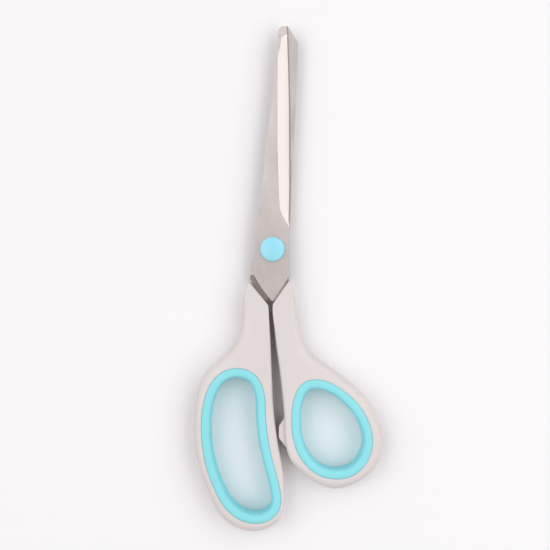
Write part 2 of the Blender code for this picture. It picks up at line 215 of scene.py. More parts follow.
# Seat and lining section.
SEAT_DEPTH = 3.0
RIB_WIDTH = 2.4
SEAT_ROUND = 0.15
# About what a round corner leaves of its radius halfway round.
ROUND_MIDDLE = 0.3
LINING_WIDTH = 4.2
LINING_FIT = 0.06
LINING_STEPS = 30
# Below 1, these make the section fuller than an ellipse, across and upwards.
LINING_BULGE, LINING_SHOULDER = 0.6, 0.48
BEAD_CREST = 1.7
BEAD_SINK = 0.65
LIP_STEPS = 5

# Pivot.
PIVOT_HOLE = 2.3
HOLE_PAST = 2
TURNED_STEPS = 96
TURNS = [2 * pi * step / TURNED_STEPS for step in range(TURNED_STEPS)]
CAP_RADIUS = 5.2
CAP_EDGE = 0.8
CAP_CLEAR = 0.3
CAP_FOOT_BREAK = 0.15
DOME_RISE = 0.75
DOME_STEPS = 12
SHOULDER_START = radians(18)
SHOULDER_STEPS = 8
HEAD_RADIUS = 4.0
HEAD_CHAMFER = 0.3
HEAD_LIFT = 0.3
HEAD_BREAK = 0.1
SLOT_WIDTH, SLOT_DEPTH = 1.0, 0.7
SLOT_PAST = 1
SHANK_RADIUS = 2.0
THREAD_PITCH, THREAD_DEPTH, THREAD_TOP = 0.7, 0.22, 3.2
THREAD_ROWS = 48
THREAD_RUNOUT = 0.6
POINT_RUNOUT, POINT_LENGTH, POINT_TAPER = 0.25, 0.5, 0.35
WASHER_RADIUS, WASHER_THICKNESS, WASHER_WAVES = 4.3, 0.35, 3
WASHER_BREAK = 0.08
NUT_ACROSS_FLATS = 7.0
NUT_PAST = 0.2
NUT_FLAT_INSET = 0.1
NUT_CHAMFER_SLOPE = 0.6
NUT_BORE_CHAMFER = 0.4
NUT_BORE_INSET, NUT_BORE_DEPTH = 0.1, 0.3


def ease(value, start, end):
    """A smooth step from 0 at start to 1 at end."""
    share = min(max((value - start) / (end - start), 0.0), 1.0)
    return share * share * (3 - 2 * share)


# Outlines

def smooth_span(before, start, end, after, steps):
    """Points from start up to end on a centripetal Catmull-Rom curve."""
    knots = [0.0]
    for first, second in ((before, start), (start, end), (end, after)):
        knots.append(knots[-1] + (second - first).length ** 0.5)
    points = []
    for step in range(steps):
        t = knots[1] + (knots[2] - knots[1]) * step / steps
        layer = [before, start, end, after]
        for depth in (1, 2, 3):
            blended = []
            for index in range(4 - depth):
                low = knots[max(index, index + depth - 2)]
                high = knots[min(index + depth, index + 2)]
                blended.append(layer[index].lerp(layer[index + 1], (t - low) / (high - low)))
            layer = blended
        points.append(layer[0])
    return points


def smooth(points, closed, steps=8):
    """A smooth curve through the points; an open one keeps its ends."""
    corners = [Vector(point) for point in points]
    if closed:
        padded = [corners[-1], *corners, corners[0], corners[1]]
    else:
        padded = [corners[0] * 2 - corners[1], *corners, corners[-1] * 2 - corners[-2]]
    line = []
    for index in range(len(padded) - 3):
        line += smooth_span(*padded[index:index + 4], steps)
    return line if closed else line + [corners[-1]]


def even(points, spacing, closed):
    """The same line with its points at an even spacing."""
    line = points + [points[0]] if closed else points
    reach = [0.0]
    for first, second in zip(line, line[1:]):
        reach.append(reach[-1] + (second - first).length)
    count = round(reach[-1] / spacing)
    moved = []
    for step in range(count if closed else count + 1):
        goal = reach[-1] * step / count
        index = min(bisect_right(reach, goal), len(line) - 1) - 1
        share = (goal - reach[index]) / (reach[index + 1] - reach[index])
        moved.append(line[index].lerp(line[index + 1], share))
    return moved


def relax(points, closed):
    """Even out a line's curvature without shrinking it."""
    last = len(points) - 1
    for turn in range(2 * RELAX_PASSES):
        pull = RELAX_PULL if turn % 2 == 0 else RELAX_PUSH
        moved = []
        for index, point in enumerate(points):
            if closed or 0 < index < last:
                middle = (points[index - 1] + points[(index + 1) % len(points)]) / 2
                point = point + (middle - point) * pull
            moved.append(point)
        points = moved
    return points


def fair(points, closed):
    """A fair, finely divided line through listed points."""
    coarse = relax(even(smooth(points, closed), COARSE_STEP, closed), closed)
    return even(smooth(coarse, closed), FINE_STEP, closed)


def inward(line):
    """Each point's unit normal, to the left of a closed line's direction."""
    normals = []
    for index in range(len(line)):
        along = (line[(index + 1) % len(line)] - line[index - 1]).normalized()
        normals.append(Vector((-along.y, along.x)))
    return normals


def offset(line, distance):
    """The closed line moved inwards by one distance, or by one for each point."""
    distances = distance if isinstance(distance, list) else [distance] * len(line)
    return [point + normal * move
            for point, normal, move in zip(line, inward(line), distances)]


def arc(start, corner, end, steps):
    """A round corner from start to end, which lie equally far from the sharp one."""
    weight = sin((start - corner).angle(end - corner) / 2)
    points = []
    for step in range(steps + 1):
        share = step / steps
        pulls = ((1 - share) ** 2, 2 * weight * share * (1 - share), share ** 2)
        points.append((start * pulls[0] + corner * pulls[1] + end * pulls[2]) / sum(pulls))
    return points


def handle_outline(run):
    """The closed outline, and for each point how far along it the front is."""
    side = fair(run, closed=False)
    first, last = side[0], side[-1]
    side = side[CORNER_CUT:-CORNER_CUT]
    first_leg, last_leg = (side[0] - first).length, (side[-1] - last).length
    front = (first - last).normalized()
    start, end = last + front * last_leg, first - front * first_leg
    straight = even([start, end], FINE_STEP, closed=False)
    away = [min(index, len(side) - 1 - index) * FINE_STEP for index in range(len(side))]
    second_corner = arc(side[-1], last, start, CORNER_STEPS)[1:]
    first_corner = arc(end, first, side[0], CORNER_STEPS)[:-1]
    outline = side + second_corner + straight[1:-1] + first_corner
    return outline, away + [0.0] * (len(outline) - len(away))


def round_corners(corners, leg, steps=5):
    """A closed polygon whose corners are rounded off, each from leg before it to leg after."""
    points = [Vector(corner) for corner in corners]
    line = []
    for index, corner in enumerate(points):
        before = (points[index - 1] - corner).normalized() * leg
        after = (points[(index + 1) % len(points)] - corner).normalized() * leg
        line += arc(corner + before, corner, corner + after, steps)
    return line


# Meshes

def add_ring(shape, line, height):
    """Vertices over a line, at one height or at one for each point."""
    heights = height if isinstance(height, list) else [height] * len(line)
    return [shape.verts.new((point.x, point.y, z)) for point, z in zip(line, heights)]


def bridge(shape, first, second):
    """Faces between two closed rings of as many vertices."""
    for index in range(len(first)):
        after = (index + 1) % len(first)
        shape.faces.new((first[index], first[after], second[after], second[index]))


def inside(points, loop):
    """For each of the points, whether it lies in the closed loop."""
    x, y = np.array(points)[:, :, None].transpose(1, 0, 2)
    start = np.array(loop)
    end = np.roll(start, -1, axis=0)
    crosses = (start[:, 1] > y) != (end[:, 1] > y)
    rise = np.where(end[:, 1] == start[:, 1], 1.0, end[:, 1] - start[:, 1])
    where = start[:, 0] + (y - start[:, 1]) * (end[:, 0] - start[:, 0]) / rise
    return (crosses & (x < where)).sum(axis=1) % 2 == 1


def spread(rings):
    """Staggered points inside the first ring, outside the others and clear of all."""
    border = np.array([point for ring in rings for point in ring])
    low, high = border.min(axis=0), border.max(axis=0)
    points = []
    rise = FILL_STEP * sqrt(3) / 2
    for row in range(int((high[1] - low[1]) / rise) + 1):
        shift = FILL_STEP / 2 * (row % 2)
        for column in range(int((high[0] - low[0]) / FILL_STEP) + 1):
            points.append((low[0] + shift + column * FILL_STEP, low[1] + row * rise))
    points = np.array(points)
    keep = inside(points, rings[0])
    for hole in rings[1:]:
        keep &= ~inside(points, hole)
    points = points[keep]
    gaps = np.linalg.norm(points[:, None, :] - border[None, :, :], axis=2).min(axis=1)
    return [Vector(point) for point in points[gaps > FILL_STEP * FILL_MARGIN]]


def fill(shape, rings, height):
    """Close the space between vertex rings with triangles; height(x, y) sets the inner ones."""
    flat = [[Vector((vertex.co.x, vertex.co.y)) for vertex in ring] for ring in rings]
    places = [place for ring in flat for place in ring]
    edges = []
    for ring in rings:
        first = len(edges)
        edges += [(first + i, first + (i + 1) % len(ring)) for i in range(len(ring))]
    loose = spread([[tuple(place) for place in ring] for ring in flat])
    vertices = [vertex for ring in rings for vertex in ring]
    vertices += [shape.verts.new((place.x, place.y, height(place.x, place.y))) for place in loose]
    found = delaunay_2d_cdt(places + loose, edges, [], WITHIN_BORDERS, MERGE)
    coordinates, triangles, sources = found[0], found[2], found[3]
    middles = [sum((coordinates[i] for i in face), Vector((0.0, 0.0))) / 3 for face in triangles]
    solid = inside([tuple(middle) for middle in middles], [tuple(p) for p in flat[0]])
    for hole in flat[1:]:
        solid &= ~inside([tuple(middle) for middle in middles], [tuple(p) for p in hole])
    for face, keep in zip(triangles, solid):
        if keep:
            shape.faces.new([vertices[sources[i][0]] for i in face])


def to_mesh(shape, name):
    """The finished shape as a mesh, its faces pointing out."""
    bmesh.ops.recalc_face_normals(shape, faces=shape.faces)
    mesh = bpy.data.meshes.new(name)
    shape.to_mesh(mesh)
    shape.free()
    return mesh


def combine(mesh, tool, operation):
    """The mesh with the tool's volume joined to it or taken away."""
    scene = bpy.context.scene
    item = bpy.data.objects.new(mesh.name, mesh)
    other = bpy.data.objects.new(tool.name, tool)
    for each in (item, other):
        scene.collection.objects.link(each)
    modifier = item.modifiers.new("combine", "BOOLEAN")
    modifier.operation = operation
    modifier.solver = "EXACT"
    modifier.object = other
    graph = bpy.context.evaluated_depsgraph_get()
    result = bpy.data.meshes.new_from_object(item.evaluated_get(graph))
    for each in (item, other):
        bpy.data.objects.remove(each, do_unlink=True)
    return result


def make_piece(name, mesh, materials, body, node, sharp=30.0):
    """Put a mesh drawn in millimetres into the frame, in place of a CAD node."""
    mesh.transform(Matrix.Translation((PIVOT.x * MM, PIVOT.y * MM, 0.0)) @ Matrix.Scale(MM, 4))
    indices = [face.material_index for face in mesh.polygons]
    mesh.materials.clear()
    for material in materials:
        mesh.materials.append(material)
    mesh.polygons.foreach_set("material_index", indices)
    mesh.shade_smooth()
    mesh.set_sharp_from_angle(angle=radians(sharp))
    piece = bpy.data.objects.new(name, mesh)
    bpy.context.scene.collection.objects.link(piece)
    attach(piece, body)
    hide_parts(node)
    return piece


def slab(line, low, high, rounding, name):
    """A plate with this closed outline and softened rims."""
    shape = bmesh.new()
    rings = []
    for level, side in ((low, -1), (high, 1)):
        turns = [pi / 2 * step / NUB_STEPS for step in range(NUB_STEPS + 1)]
        if side < 0:
            turns.reverse()
        for turn in turns:
            height = level - side * rounding * (1 - sin(turn))
            rings.append(add_ring(shape, offset(line, rounding * (1 - cos(turn))), height))
    for first, second in zip(rings, rings[1:]):
        bridge(shape, first, second)
    fill(shape, [rings[0]], lambda x, y: low)
    fill(shape, [rings[-1]], lambda x, y: high)
    return to_mesh(shape, name)


# Blades

def blade_side(runs):
    """x along a blade's side as a function of y, and the y of the side's points.

    Each run is smooth, with corners between them.
    """
    line = []
    for run in runs:
        line += smooth(run, closed=False) if len(run) > 2 else [Vector(p) for p in run]
    rows = [point.y for point in line]

    def at(y):
        index = min(max(bisect_right(rows, y) - 1, 0), len(line) - 2)
        first, second = line[index], line[index + 1]
        share = (y - first.y) / max(second.y - first.y, 0.001)
        return first.x + (second.x - first.x) * min(max(share, 0.0), 1.0)

    return at, rows


def blade_rows(sides):
    """The y of every row: even steps, and each place where a side turns."""
    low, high = sides[0][0], sides[0][-1]
    count = round((high - low) / ROW_STEP)
    rows = {round(low + (high - low) * step / count, 3) for step in range(count + 1)}
    rows = sorted(rows | {round(y, 3) for side in sides for y in side if low < y < high})
    spaced = rows[:1]
    for y in rows[1:]:
        if y - spaced[-1] > ROW_LEAST:
            spaced.append(y)
    return spaced


def broken(side_at, y):
    """How wide the broken corner along a blade's side is, measured along x."""
    slant = abs(side_at(y + SLANT_REACH) - side_at(y - SLANT_REACH)) / (2 * SLANT_REACH)
    slant = min(slant, SLANT_MOST)
    return EDGE_BREAK * sqrt(1 + slant * slant)


def make_blade(name, spine, edge, foot, low, high, side):
    """A blade ground on one face, drawn as the upper one; side is -1 to turn it over.

    Each row runs from the spine over the flat and down the hollow-ground face to
    the edge, and back along the face that meets the other blade.
    """
    spine_at, spine_rows = blade_side([[(side * x, y) for x, y in run] for run in spine])
    edge_at, edge_rows = blade_side([[(side * x, y) for x, y in run] for run in edge])
    middle = (low + high) / 2
    half = (high - low) / 2
    full_drop = high - low - EDGE_THICKNESS
    shape = bmesh.new()
    rows = []
    for y in blade_rows((spine_rows, edge_rows)):
        start, end = spine_at(y), edge_at(y)
        spine_break, edge_break = broken(spine_at, y), broken(edge_at, y)
        meets = max(min(foot(y, end), end - edge_break), start + 2 * spine_break)
        width = end - meets
        drop = max(EDGE_BREAK, min(full_drop, full_drop * width / GROUND_WIDTH))
        keen = ease(width, edge_break, GROUND_WIDTH / 2)
        cut_width = CUT_LEAST + (CUT_WIDTH - CUT_LEAST) * keen
        cut_drop = CUT_LEAST + (CUT_DROP - CUT_LEAST) * keen
        sunk = max(y - TIP_START, 0.0) * TIP_SLOPE
        sunk += TIP_STEP * ease(y, TIP_START, TIP_START + TIP_STEP_LENGTH)
        row = [(start, half - EDGE_BREAK - sunk)]
        for step in range(FLAT_STEPS + 1):
            x = start + spine_break + (meets - start - spine_break) * step / FLAT_STEPS
            row.append((x, half - sunk))
        for step in range(1, GROUND_STEPS + 1):
            share = step / GROUND_STEPS
            hollow = share * (1 + HOLLOW * (1 - share))
            row.append((meets + (width - cut_width) * share, half - max(sunk, drop * hollow)))
        row.append((end, max(row[-1][1] - cut_drop, -half + CUT_LEAST)))
        row += [(end, -half), (start + spine_break, -half), (start, -half + EDGE_BREAK)]
        rows.append([shape.verts.new((side * x, y, middle + side * z)) for x, z in row])
    for first, second in zip(rows, rows[1:]):
        bridge(shape, first, second)
    first_ground = FLAT_STEPS + 1
    cut = first_ground + GROUND_STEPS
    for index, face in enumerate(shape.faces):
        across = index % len(rows[0])
        before_tip = face.calc_center_median().y < TIP_START + TIP_STEP_LENGTH / 2
        is_ground = across == cut or (first_ground <= across < cut and before_tip)
        face.material_index = GROUND if is_ground else SATIN
    for row in (rows[0], rows[-1]):
        shape.faces.new(row)
    mesh = to_mesh(shape, name)
    for _ in (SATIN, GROUND, TANG_SHADE):
        mesh.materials.append(None)
    top, bottom = high + HOLE_PAST, low - HOLE_PAST
    hole = turned([(0.0, top), (PIVOT_HOLE, top), (PIVOT_HOLE, bottom), (0.0, bottom)], "hole")
    return combine(mesh, hole, "DIFFERENCE")


def upper_foot(y, end):
    """Where the upper blade's ground face starts, from the heel's run-out to the tip."""
    first = bisect_right([point[1] for point in UPPER_FOOT], y)
    if first == 0 or first == len(UPPER_FOOT):
        return end
    (x0, y0), (x1, y1) = UPPER_FOOT[first - 1:first + 1]
    return x0 + (x1 - x0) * (y - y0) / (y1 - y0)


def lower_foot(y, end):
    """The lower blade's ground face keeps its width, with a run-out at the heel."""
    return end - GROUND_WIDTH * ease(y, LOWER_GROUND_START, LOWER_GROUND_FULL)


def tang_tool(spine, edge, low, high):
    """The blade's tang, a hair larger all round, to cut its pocket out of a handle."""
    sides = (blade_side([sorted(run, key=lambda p: p[1]) for run in spine])[0],
             blade_side([sorted(run, key=lambda p: p[1]) for run in edge])[0])
    rows = [TANG_END - TANG_CLEAR + step * TANG_ROW_STEP for step in range(TANG_ROWS)]
    left = [Vector((min(side(y) for side in sides) - TANG_CLEAR, y)) for y in rows]
    right = [Vector((max(side(y) for side in sides) + TANG_CLEAR, y)) for y in rows]
    shape = bmesh.new()
    loop = right + left[::-1]
    bottom = add_ring(shape, loop, low - TANG_CLEAR)
    top = add_ring(shape, loop, high + TANG_CLEAR)
    bridge(shape, bottom, top)
    shape.faces.new(bottom)
    shape.faces.new(top)
    bmesh.ops.triangulate(shape, faces=shape.faces)
    return to_mesh(shape, "tang")


# Handles and linings

def handle_top(y):
    """A handle's flat top, which falls from the loop to the neck."""
    share = ease(y, *NECK_TAPER)
    return LOOP_TOP + (NECK_TOP - LOOP_TOP) * share


def rim_profile(width, drop, low, wall, top):
    """(inset, height) up a handle's outer side, from its flat foot to its flat top."""
    turns = [pi / 2 * step / RIM_STEPS for step in range(RIM_STEPS + 1)]
    foot_width, foot_drop = width * FOOT_SHARE, drop * FOOT_SHARE
    foot = [(DRAFT + (foot_width - DRAFT) * (1 - cos(turn)), low + foot_drop * (1 - sin(turn)))
            for turn in reversed(turns)]
    crown = [(DRAFT + (width - DRAFT) * (1 - cos(turn)), top - drop * (1 - sin(turn)))
             for turn in turns]
    return [*foot, (0.0, wall), *crown]


def make_handle(name, run, seat, gap_side):
    """A moulded handle, with the seat that its lining clips round.

    gap_side is the way its side towards the other handle faces: -1 is -X, 1 is +X.
    """
    outline, away = handle_outline(run)
    seat_line = fair(seat, closed=True)
    seat_points = np.array(seat_line)
    profiles = []
    for point, normal, distance in zip(outline, inward(outline), away):
        fade = ease(distance, 0.0, FRONT_FADE)
        narrow = ease(-gap_side * normal.x, *GAP_FACING)
        full_width = RIM_WIDTH + (GAP_WIDTH - RIM_WIDTH) * narrow
        full_drop = RIM_DROP + (GAP_DROP - RIM_DROP) * narrow
        room = np.linalg.norm(seat_points - np.array(point), axis=1).min() - SEAT_CLEAR
        width = min(FRONT_WIDTH + (full_width - FRONT_WIDTH) * fade, room)
        drop = FRONT_DROP + (full_drop - FRONT_DROP) * fade
        profiles.append(rim_profile(width, drop, HANDLE_LOW, SHEAR_PLANE, handle_top(point.y)))
    shape = bmesh.new()
    rings = []
    for level in range(len(profiles[0])):
        insets = [profile[level][0] for profile in profiles]
        heights = [profile[level][1] for profile in profiles]
        rings.append(add_ring(shape, offset(outline, insets), heights))
    for first, second in zip(rings, rings[1:]):
        bridge(shape, first, second)

    def top_ring(distance, sink):
        line = offset(seat_line, distance)
        return add_ring(shape, line, [handle_top(point.y) - sink for point in line])

    seat_rings = [
        top_ring(-SEAT_ROUND, 0.0),
        top_ring(-SEAT_ROUND * ROUND_MIDDLE, SEAT_ROUND * ROUND_MIDDLE),
        top_ring(0.0, SEAT_ROUND),
        add_ring(shape, seat_line, HANDLE_HIGH - SEAT_DEPTH),
        add_ring(shape, offset(seat_line, RIB_WIDTH), HANDLE_HIGH - SEAT_DEPTH),
        add_ring(shape, offset(seat_line, RIB_WIDTH), HANDLE_LOW + SEAT_DEPTH),
        add_ring(shape, seat_line, HANDLE_LOW + SEAT_DEPTH),
        add_ring(shape, seat_line, HANDLE_LOW + SEAT_ROUND),
        add_ring(shape, offset(seat_line, -SEAT_ROUND * ROUND_MIDDLE),
                 HANDLE_LOW + SEAT_ROUND * ROUND_MIDDLE),
        add_ring(shape, offset(seat_line, -SEAT_ROUND), HANDLE_LOW),
    ]
    for first, second in zip(seat_rings, seat_rings[1:]):
        bridge(shape, first, second)
    fill(shape, [rings[-1], seat_rings[0]], lambda x, y: handle_top(y))
    fill(shape, [rings[0], seat_rings[-1]], lambda x, y: HANDLE_LOW)
    return to_mesh(shape, name)


def lining_section():
    """(inset, height) round the lining's section: a soft bead, and a groove for the rib."""
    middle = (GRIP_LOW + GRIP_HIGH) / 2
    half = (GRIP_HIGH - GRIP_LOW) / 2
    section = []
    for step in range(LINING_STEPS + 1):
        turn = pi / 2 - pi * step / LINING_STEPS
        reach = cos(turn) ** LINING_BULGE
        rise = abs(sin(turn)) ** LINING_SHOULDER * (1 if turn >= 0 else -1)
        section.append((BEAD_CREST + (LINING_WIDTH - BEAD_CREST) * reach, middle + half * rise))
    lip = []
    for step in range(1, LIP_STEPS + 1):
        turn = pi / 2 * step / LIP_STEPS
        lip.append((BEAD_CREST - (BEAD_CREST - LINING_FIT) * sin(turn), BEAD_SINK * (1 - cos(turn))))
    upper_lip = [(x, GRIP_HIGH - sink) for x, sink in lip]
    lower_lip = [(x, GRIP_LOW + sink) for x, sink in lip]
    groove_high = HANDLE_HIGH - SEAT_DEPTH + LINING_FIT
    groove_low = HANDLE_LOW + SEAT_DEPTH - LINING_FIT
    groove = [(LINING_FIT, groove_low), (RIB_WIDTH + LINING_FIT, groove_low),
              (RIB_WIDTH + LINING_FIT, groove_high), (LINING_FIT, groove_high)]
    return section + lower_lip + groove + upper_lip[::-1]


def make_lining(name, seat):
    """A soft ring that follows a handle's seat."""
    line = fair(seat, closed=True)
    shape = bmesh.new()
    rings = [add_ring(shape, offset(line, inset), height) for inset, height in lining_section()]
    for first, second in zip(rings, rings[1:] + rings[:1]):
        bridge(shape, first, second)
    return to_mesh(shape, name)


# Pivot

def round_ring(shape, radius, height):
    """Vertices on a circle about the pivot's axis."""
    return [shape.verts.new((radius * cos(turn), radius * sin(turn), height)) for turn in TURNS]


def turned(profile, name):
    """A closed round piece about the pivot's axis from (radius, height) points, top first."""
    shape = bmesh.new()
    rings = []
    for radius, height in profile:
        if radius == 0.0:
            rings.append([shape.verts.new((0.0, 0.0, height))])
            continue
        rings.append(round_ring(shape, radius, height))
    for first, second in zip(rings, rings[1:]):
        if len(first) == 1 or len(second) == 1:
            centre, ring = (first[0], second) if len(first) == 1 else (second[0], first)
            for index, vertex in enumerate(ring):
                shape.faces.new((centre, vertex, ring[(index + 1) % len(ring)]))
        else:
            bridge(shape, first, second)
    if len(rings[0]) > 1:
        bridge(shape, rings[-1], rings[0])
    return to_mesh(shape, name)


def make_cap():
    """A low dome with a soft shoulder, hollow over the screw's head."""
    room_radius = HEAD_RADIUS + CAP_CLEAR
    room_high = SCREW_HIGH + CAP_CLEAR
    dome = []
    for step in range(DOME_STEPS + 1):
        radius = (CAP_RADIUS - CAP_EDGE) * step / DOME_STEPS
        dome.append((radius, CAP_HIGH - DOME_RISE * (radius / CAP_RADIUS) ** 2))
    start = SHOULDER_START
    shoulder = []
    for step in range(1, SHOULDER_STEPS + 1):
        turn = start + (pi / 2 - start) * step / SHOULDER_STEPS
        radius = CAP_RADIUS - CAP_EDGE * (1 - sin(turn)) / (1 - sin(start))
        height = dome[-1][1] - CAP_EDGE * (1 - cos(turn)) + CAP_EDGE * (1 - cos(start))
        shoulder.append((radius, height))
    skirt = [(CAP_RADIUS, CAP_LOW + CAP_FOOT_BREAK), (CAP_RADIUS - CAP_FOOT_BREAK, CAP_LOW)]
    room = [(room_radius, CAP_LOW), (room_radius, room_high), (0.0, room_high)]
    return turned([*dome, *shoulder, *skirt, *room], "pivot_cap_dome")


def make_screw():
    """A slotted head and a shank whose lower end is threaded."""
    head_low = UPPER_HIGH + HEAD_LIFT
    profile = [(HEAD_RADIUS - HEAD_CHAMFER, SCREW_HIGH),
               (HEAD_RADIUS, SCREW_HIGH - HEAD_CHAMFER), (HEAD_RADIUS, head_low + HEAD_BREAK),
               (HEAD_RADIUS - HEAD_BREAK, head_low), (SHANK_RADIUS, head_low),
               (SHANK_RADIUS, THREAD_TOP)]
    shape = bmesh.new()
    rings = [round_ring(shape, radius, height) for radius, height in profile]
    for row in range(1, THREAD_ROWS + 1):
        height = THREAD_TOP - (THREAD_TOP - SCREW_LOW) * row / THREAD_ROWS
        runout = ease(THREAD_TOP - height, 0.0, THREAD_RUNOUT)
        runout *= ease(height - SCREW_LOW, 0.0, POINT_RUNOUT)
        ring = []
        for turn in TURNS:
            phase = (height / THREAD_PITCH - turn / (2 * pi)) % 1.0
            cut = THREAD_DEPTH * runout * abs(2 * phase - 1)
            taper = POINT_TAPER * (1 - ease(height - SCREW_LOW, 0.0, POINT_LENGTH))
            radius = SHANK_RADIUS - cut - taper
            ring.append(shape.verts.new((radius * cos(turn), radius * sin(turn), height)))
        rings.append(ring)
    for first, second in zip(rings, rings[1:]):
        bridge(shape, first, second)
    shape.faces.new(rings[0])
    shape.faces.new(rings[-1])
    mesh = to_mesh(shape, "pivot_screw_turned")
    reach = HEAD_RADIUS + SLOT_PAST
    slot_line = [Vector(p) for p in ((-reach, -SLOT_WIDTH / 2), (reach, -SLOT_WIDTH / 2),
                                     (reach, SLOT_WIDTH / 2), (-reach, SLOT_WIDTH / 2))]
    slot = bmesh.new()
    low = add_ring(slot, slot_line, SCREW_HIGH - SLOT_DEPTH)
    high = add_ring(slot, slot_line, SCREW_HIGH + SLOT_PAST)
    bridge(slot, low, high)
    slot.faces.new(low)
    slot.faces.new(high)
    return combine(mesh, to_mesh(slot, "slot"), "DIFFERENCE")


def make_washer():
    """A thin ring pressed into three waves."""
    middle = (WASHER_LOW + WASHER_HIGH) / 2
    wave = (WASHER_HIGH - WASHER_LOW - WASHER_THICKNESS) / 2
    half = WASHER_THICKNESS / 2
    edge = WASHER_BREAK
    section = [(PIVOT_HOLE + edge, half), (WASHER_RADIUS - edge, half),
               (WASHER_RADIUS, half - edge), (WASHER_RADIUS, edge - half),
               (WASHER_RADIUS - edge, -half), (PIVOT_HOLE + edge, -half),
               (PIVOT_HOLE, edge - half), (PIVOT_HOLE, half - edge)]
    shape = bmesh.new()
    rows = []
    for turn in TURNS:
        lift = middle + wave * cos(WASHER_WAVES * turn)
        rows.append([shape.verts.new((r * cos(turn), r * sin(turn), lift + z)) for r, z in section])
    for first, second in zip(rows, rows[1:] + rows[:1]):
        bridge(shape, first, second)
    return to_mesh(shape, "wave_washer_sprung")


def make_nut():
    """A thin hexagon nut, its corners chamfered above and below."""
    corner = NUT_ACROSS_FLATS / 2 / cos(pi / 6)
    blank = bmesh.new()
    bmesh.ops.create_cone(blank, cap_ends=True, segments=6, radius1=corner, radius2=corner,
                          depth=NUT_HIGH - NUT_LOW)
    bmesh.ops.translate(blank, verts=blank.verts, vec=(0.0, 0.0, (NUT_LOW + NUT_HIGH) / 2))
    flat = NUT_ACROSS_FLATS / 2 - NUT_FLAT_INSET
    past = corner + NUT_PAST
    fall = (past - flat) * NUT_CHAMFER_SLOPE
    mouth = SHANK_RADIUS + NUT_BORE_CHAMFER
    bore = PIVOT_HOLE - NUT_BORE_INSET
    body = turned([(flat, NUT_HIGH), (past, NUT_HIGH - fall), (past, NUT_LOW + fall),
                   (flat, NUT_LOW), (mouth, NUT_LOW), (bore, NUT_LOW + NUT_BORE_DEPTH),
                   (bore, NUT_HIGH - NUT_BORE_DEPTH), (mouth, NUT_HIGH)], "nut_body")
    return combine(to_mesh(blank, "pivot_nut_hexagon"), body, "INTERSECT")


# Materials

# The Mix node's colour sockets.
MIX_FIRST, MIX_SECOND, MIX_RESULT = 6, 7, 2
# Painted light: the steel's colour is brightened between these distances from the pivot, more
# towards the tip.
TIP_LIGHT_FROM, TIP_LIGHT_TO = 5.0, 62.0
# How dark the painted shade beside a line is, as a share of the steel's colour, and how much of its
# reach is fully so.
PAINTED_SHADE_SHARE = 0.55
PAINTED_SHADE_CORE = 0.3
SCRATCH_TURN = radians(63)
BRUSH_DEPTH = 0.000012
RING_DEPTH = 0.000006


def add_node(tree, kind, inputs=None, **settings):
    """A node with its settings, and each input given as a value or as a socket to link."""
    node = tree.nodes.new(kind)
    for key, value in settings.items():
        setattr(node, key, value)
    for key, value in (inputs or {}).items():
        if isinstance(value, bpy.types.NodeSocket):
            tree.links.new(value, node.inputs[key])
        else:
            node.inputs[key].default_value = value
    return node


def new_material(name):
    """A new material, its node tree and its shader."""
    material = bpy.data.materials.new(name)
    material.use_nodes = True
    tree = material.node_tree
    return material, tree, tree.nodes["Principled BSDF"]


def place(tree, scale, shift=(0.0, 0.0, 0.0), turn=(0.0, 0.0, 0.0)):
    """Object coordinates, stretched for a pattern; scale is in repeats per metre."""
    source = add_node(tree, "ShaderNodeTexCoord").outputs["Object"]
    mapping = add_node(tree, "ShaderNodeMapping", {
        "Vector": source, "Location": shift, "Rotation": turn, "Scale": scale,
    })
    return mapping.outputs["Vector"]


def noise(tree, scale, detail=2.0, rough=0.5, turn=(0.0, 0.0, 0.0)):
    """A noise pattern from 0 to 1."""
    texture = add_node(tree, "ShaderNodeTexNoise", {
        "Vector": place(tree, scale, turn=turn), "Scale": 1.0, "Detail": detail, "Roughness": rough,
    })
    return texture.outputs["Fac"]


def remap(tree, value, low, high, start=0.3, end=0.7):
    """value from start..end turned into low..high."""
    node = add_node(tree, "ShaderNodeMapRange", {
        "Value": value, "From Min": start, "From Max": end, "To Min": low, "To Max": high,
    })
    return node.outputs["Result"]


def maths(tree, operation, first, second):
    """One operation on two values or sockets."""
    return add_node(tree, "ShaderNodeMath", {0: first, 1: second}, operation=operation).outputs[0]


def mix(tree, factor, first, second):
    """Two colours mixed by factor; each is a tuple or a socket."""
    node = add_node(tree, "ShaderNodeMix", {
        "Factor": factor, MIX_FIRST: first, MIX_SECOND: second,
    }, data_type="RGBA")
    return node.outputs[MIX_RESULT]


def shade(tree, colour, factor, darkest, lightest):
    """The colour, from darkest to lightest times itself as factor rises."""
    dark = (*[channel * darkest for channel in colour], 1.0)
    light = (*[min(channel * lightest, 1.0) for channel in colour], 1.0)
    return mix(tree, factor, dark, light)


def bump(tree, height, depth):
    """Normals for a height from 0 to 1, which stands for a depth in metres."""
    node = add_node(tree, "ShaderNodeBump", {
        "Height": height, "Strength": 1.0, "Distance": depth,
    })
    return node.outputs["Normal"]


def beside_line(tree, start, end, reach):
    """1 on the right of a line and just beside it, 0 from reach millimetres left of it."""
    along = (Vector(end) - Vector(start)).normalized()
    normal = Vector((-along.y, along.x, 0.0))
    origin = (PIVOT + Vector((*start, 0.0))) * MM
    source = add_node(tree, "ShaderNodeTexCoord").outputs["Object"]
    place_on = add_node(tree, "ShaderNodeVectorMath", {0: source, 1: tuple(normal)},
                        operation="DOT_PRODUCT").outputs["Value"]
    edge = normal.x * origin.x + normal.y * origin.y
    return remap(tree, place_on, 1.0, 0.0, edge + reach * MM * PAINTED_SHADE_CORE, edge + reach * MM)


